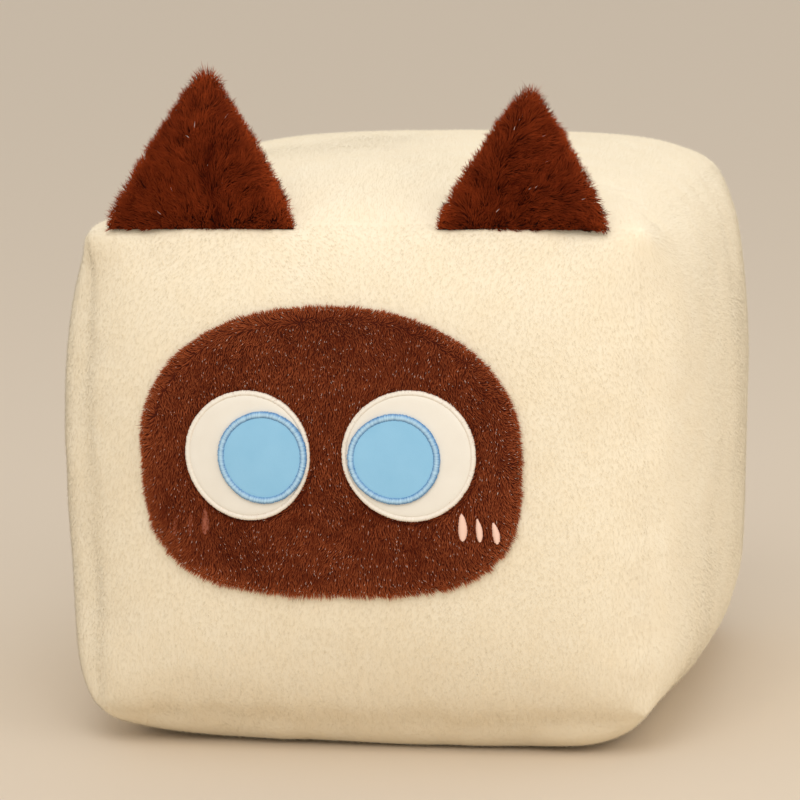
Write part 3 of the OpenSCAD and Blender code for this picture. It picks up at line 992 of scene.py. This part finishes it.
def make_marks(side, marks, low, rise, cloth):
    """Low gives each mark's height above the front panel."""
    rng = np.random.default_rng(310 if side == "left" else 311)
    parts = []
    for k, mark in enumerate(marks):
        rings, tone = satin_leaf(*mark, low[k], rise, rng)
        leaf = rolled_piece(f"{side}_mark_{k}", rings, False)
        set_number(leaf, "tone", np.concatenate([tone.ravel(), [0.3, 0.3]]))
        parts.append(leaf)
    place(joined(parts, f"{side}_cheek_satin"), "body", "pink_embroidery", cloth, f"{side}_cheek_marks")


def joined(parts, name):
    """The parts as one object."""
    bpy.ops.object.select_all(action="DESELECT")
    for part in parts:
        part.select_set(True)
    bpy.context.view_layer.objects.active = parts[0]
    bpy.ops.object.join()
    parts[0].name = name
    return parts[0]


# ---------- Ears ----------
EAR_ROUND = 0.6  # how the thickness falls off at the root and the tip
EAR_TAPER = 0.86  # below 1, the sides bow outwards
EAR_DROP = 8.5 * MM  # the cloth goes this far down into the seam
EAR_LEAN = math.radians(4)
EAR_HALF_DEPTH = 11 * MM  # half the thickness of the collision shape
EAR_EDGE = 1.5 * MM  # half of it at the collision shape's edge
EAR_RIM = 1.0 * MM  # half of it at the cloth's edge
EAR_SWAY, EAR_SHIFT = 4 * MM, 0.5 * MM  # how far to the right the tip leans, and the whole ear stands
EAR_DEPTH = 4.0 * MM  # from the tips of the pile to the cloth on its faces
EAR_LENGTH = 5.8 * MM
EAR_WIDTH = 0.24 * MM
EAR_PILE_LEAN = math.radians(46)
EAR_SPACING = 0.56 * MM
EAR_CELLS = 44
EAR_TOP = 0.985  # the cloth's highest row
EARS = {  # how much lower than the collision shape the cloth ends, and how much narrower its base is
    "left": {"short": 3 * MM, "narrow": 0},
    "right": {"short": 5 * MM, "narrow": 0.6 * MM},
}
for joint in frame["joints"]:
    ear_name = joint["name"].split("_")[0]
    EARS[ear_name]["pos"] = np.array(joint["pos_m"])
for ear_name, ear in EARS.items():
    face_low, face_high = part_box(f"{ear_name}_ear_front")
    ear["width"] = face_high.x - face_low.x
    ear["height"] = (face_high.z - ear["pos"][2]) / math.cos(EAR_LEAN)


def ear_surface(side, s, t, facing, inset, depth):
    """Points of an ear's face at s across, from -1 to 1, and t up, from 0 to 1."""
    ear = EARS[side]
    lens = np.sqrt(np.clip(1 - s * s, 0, 1)) * np.sin(math.pi * np.clip(t, 0, 1)) ** EAR_ROUND
    half_width = (ear["width"] / 2 - ear["narrow"] - inset) * (1 - t) ** EAR_TAPER
    x = s * half_width + t * EAR_SWAY + EAR_SHIFT
    y = facing * (EAR_RIM + (EAR_HALF_DEPTH - EAR_EDGE - depth) * lens)
    z = t * (ear["height"] + EAR_DROP - ear["short"] - inset) - EAR_DROP
    ear_wave = 0.8 * MM * np.sin(s * 3 + t * 5 + (0 if side == "left" else 2))
    y = y + ear_wave * lens
    turned_y = y * math.cos(EAR_LEAN) + z * math.sin(EAR_LEAN)
    turned_z = z * math.cos(EAR_LEAN) - y * math.sin(EAR_LEAN)
    return np.stack([x, turned_y, turned_z], axis=-1) + ear["pos"]


def ear_skin(side, facing, inset, depth):
    """An ear's face as a grid, with its columns closer together near both edges."""
    around = np.linspace(-math.pi / 2, math.pi / 2, EAR_CELLS + 1)
    t, s = np.meshgrid(np.linspace(0, EAR_TOP, EAR_CELLS + 1), np.sin(around), indexing="ij")
    points = ear_surface(side, s, t, facing, inset, depth)
    up, across = np.gradient(points, axis=0), np.gradient(points, axis=1)
    return Skin(points, unit(np.cross(across, up)) * -facing)


def ear_flow(side, s, t):
    """Which way the pile is brushed at s, t, in the ear's plane."""
    if side == "left":
        x = 0.9 * s
        z = 0.8 + 0.3 * t
    else:
        curl = np.exp(-(((s + 0.3) / 0.4) ** 2) - ((t - 0.22) / 0.2) ** 2)
        x = 0.85 - 1.5 * ramp(-s, 0.25, 0.9) - 0.3 * ramp(t, 0.85, 1)
        z = 0.3 + 0.45 * curl + 0.9 * ramp(t, 0.75, 0.98) + 0.4 * ramp(-s, 0.2, 0.5)
        z -= 0.6 * ramp(s, 0.6, 1) * (1 - ramp(t, 0.1, 0.4))
    return np.stack([x, 0 * x, z], axis=-1)


def make_ear_face(side, facing):
    word = "front" if facing < 0 else "back"
    rng = np.random.default_rng(400 + 10 * (side == "right") + (facing > 0))
    skin = ear_skin(side, facing, 0, EAR_DEPTH)
    inner = ear_skin(side, facing, 0.8 * MM, EAR_DEPTH + 2 * MM)
    name = f"{side}_ear_{word}"
    backing = fabric_piece(f"{name}_cloth", skin.points, skin.normals, inner.points, facing > 0)
    place(backing, f"{side}_ear", "ear_plush", ear_backing, name)
    row, column = skin.scatter(EAR_SPACING, rng)
    roots, normals = skin.at(row, column)
    s = np.sin((column / EAR_CELLS - 0.5) * math.pi)
    t = row / EAR_CELLS * EAR_TOP
    count = len(roots)
    swirl = noise(roots, 15 * MM, 81, 3) * 0.45 + noise(roots, 6 * MM, 82, 3) * 0.35
    comb = unit(along_surface(ear_flow(side, s, t) + swirl, normals))
    rim = np.maximum(ramp(np.abs(s), 0.8, 1), ramp(t, 0.86, 0.98))
    lean = EAR_PILE_LEAN + np.radians(9) * rng.standard_normal(count) + np.radians(12) * rim
    clump = noise(roots, 3.2 * MM, 83, 3)
    stray = (0.1 + 0.3 * rim)[:, None] * rng.standard_normal((count, 3))
    direction = unit(leaning(normals, comb, lean) + 0.5 * clump + stray)
    lengths = EAR_LENGTH * (1 + 0.13 * rng.standard_normal(count)) * (1 + 0.18 * noise(roots, 5 * MM, 84))
    lengths *= 1 + 0.3 * ramp(t, 0.88, 0.98) - 0.5 * (1 - ramp(t, 0.02, 0.12))
    tones = 0.42 + 0.2 * noise(roots, 5 * MM, 85) + 0.13 * noise(roots, 18 * MM, 86)
    # The pile is lighter at the ear's edges: painted light, for light that passes through the thin fibres
    # there.
    tones = tones + 0.12 * rng.standard_normal(count) + 0.45 * rim
    if side == "right":
        # Painted shade: the right ear's pile is a little darker than the left's.
        tones -= 0.07
    else:
        # Painted shade along a crease of the left ear, below about half its height.
        crease_shade = np.exp(-((s - 0.17 - 0.05 * np.sin(t * 14)) / 0.08) ** 2)
        tones -= 0.3 * crease_shade * (1 - ramp(t, 0.4, 0.65))
    tones = np.clip(tones, 0, 1)
    # A very few tufts get pale ends: painted glints.
    tones[rng.random(count) < 0.0008] = GLINT_TONE
    fur = pile(f"{name}_pile", roots, normals, direction, lengths, EAR_WIDTH, tones, rng, bend=0.25)
    place(fur, f"{side}_ear", "ear_plush", ear_pile)


def make_ear_filling(side):
    """A flat pad of fibre between the ear's two layers."""
    t, turn = np.meshgrid(np.linspace(0.13, 0.82, 16), circle(28), indexing="ij")
    inset, depth = 3 * MM, EAR_DEPTH + 2.5 * MM
    rings = ear_surface(side, 0.78 * np.cos(turn), t, 0.45 * np.sin(turn), inset, depth)
    filling = rolled_piece(f"{side}_ear_fibre", rings, False)
    place(filling, f"{side}_ear", "fibre_filling", filling_cloth, f"{side}_ear_filling")


def make_ear_hem(side):
    """The ear's raw edge, which the body seam holds."""
    low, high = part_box(f"{side}_ear_hem")
    steps, turns = 60, 10
    along = np.linspace(low.x + 4 * MM, high.x - 4 * MM, steps)
    angle = circle(turns)
    middle_y, middle_z = (low.y + high.y) / 2, (low.z + high.z) / 2 - 2 * MM
    rings = []
    for k, x in enumerate(along):
        end = math.sqrt(max(0.05, 1 - abs(2 * k / (steps - 1) - 1) ** 12))
        y = middle_y + (1.0 * MM * np.cos(angle) + 0.15 * MM * math.sin(k * 1.3)) * end
        z = middle_z + (0.9 * MM * np.sin(angle) + 0.12 * MM * math.sin(k * 0.9)) * end
        rings.append(np.stack([np.full(turns, x), y, z], axis=-1))
    edge = rolled_piece(f"{side}_ear_raw_edge", np.stack(rings), False)
    place(edge, "body", "ear_backing", ear_backing, f"{side}_ear_hem")


# ---------- Thread that shows ----------
def make_threads():
    for node in ("seam_thread", "closing_stitches"):
        obj = frame["nodes"][node]
        obj.data.materials.clear()
        obj.data.materials.append(thread_cloth)


# ---------- Floor and light ----------
WARM_WHITE = (1.0, 0.97, 0.95)
FLOOR_REACH = 6.0
LAMP_SIZE = 1.5


def make_stage():
    mesh = bpy.data.meshes.new("floor")
    corners = [(FLOOR_REACH * x, FLOOR_REACH * y, 0) for x, y in ((-1, -1), (1, -1), (1, 1), (-1, 1))]
    mesh.from_pydata(corners, [], [(0, 1, 2, 3)])
    floor = bpy.data.objects.new("floor", mesh)
    scene.collection.objects.link(floor)
    made, _, shader = material("floor", 0.8)
    set_inputs(shader, {"Base Color": srgb(214, 200, 180)})
    mesh.materials.append(made)
    world = bpy.data.worlds.new("world")
    world.use_nodes = True
    set_inputs(world.node_tree.nodes["Background"], {"Color": (*WARM_WHITE, 1.0), "Strength": 0.82})
    scene.world = world
    add_light("key", (0.2, -1.6, 2.0), 19.2)
    add_light("side", (2.0, -1.2, 1.2), 10.8)


def add_light(name, location, power):
    data = bpy.data.lights.new(name, "AREA")
    data.size = LAMP_SIZE
    data.energy = power
    data.color = WARM_WHITE
    lamp = bpy.data.objects.new(name, data)
    lamp.location = location
    lamp.rotation_euler = (Vector((0, 0, 0.15)) - Vector(location)).to_track_quat("-Z", "Y").to_euler()
    scene.collection.objects.link(lamp)


scene.view_settings.view_transform = "Standard"
make_camera()
make_stage()
for panel_name in PANELS:
    make_body_panel(panel_name)
make_body_filling()
make_patch()
for eye_side in EYES:
    make_eye(eye_side)
make_marks("left", LEFT_MARKS, (1.0 * MM, 0.75 * MM, 0.7 * MM), 0.45 * MM, covered_pink)
make_marks("right", RIGHT_MARKS, (3.0 * MM, 3.0 * MM, 3.0 * MM), 0.9 * MM, pink_satin)
for ear_side in EARS:
    for ear_facing in (-1, 1):
        make_ear_face(ear_side, ear_facing)
    make_ear_filling(ear_side)
    make_ear_hem(ear_side)
make_threads()
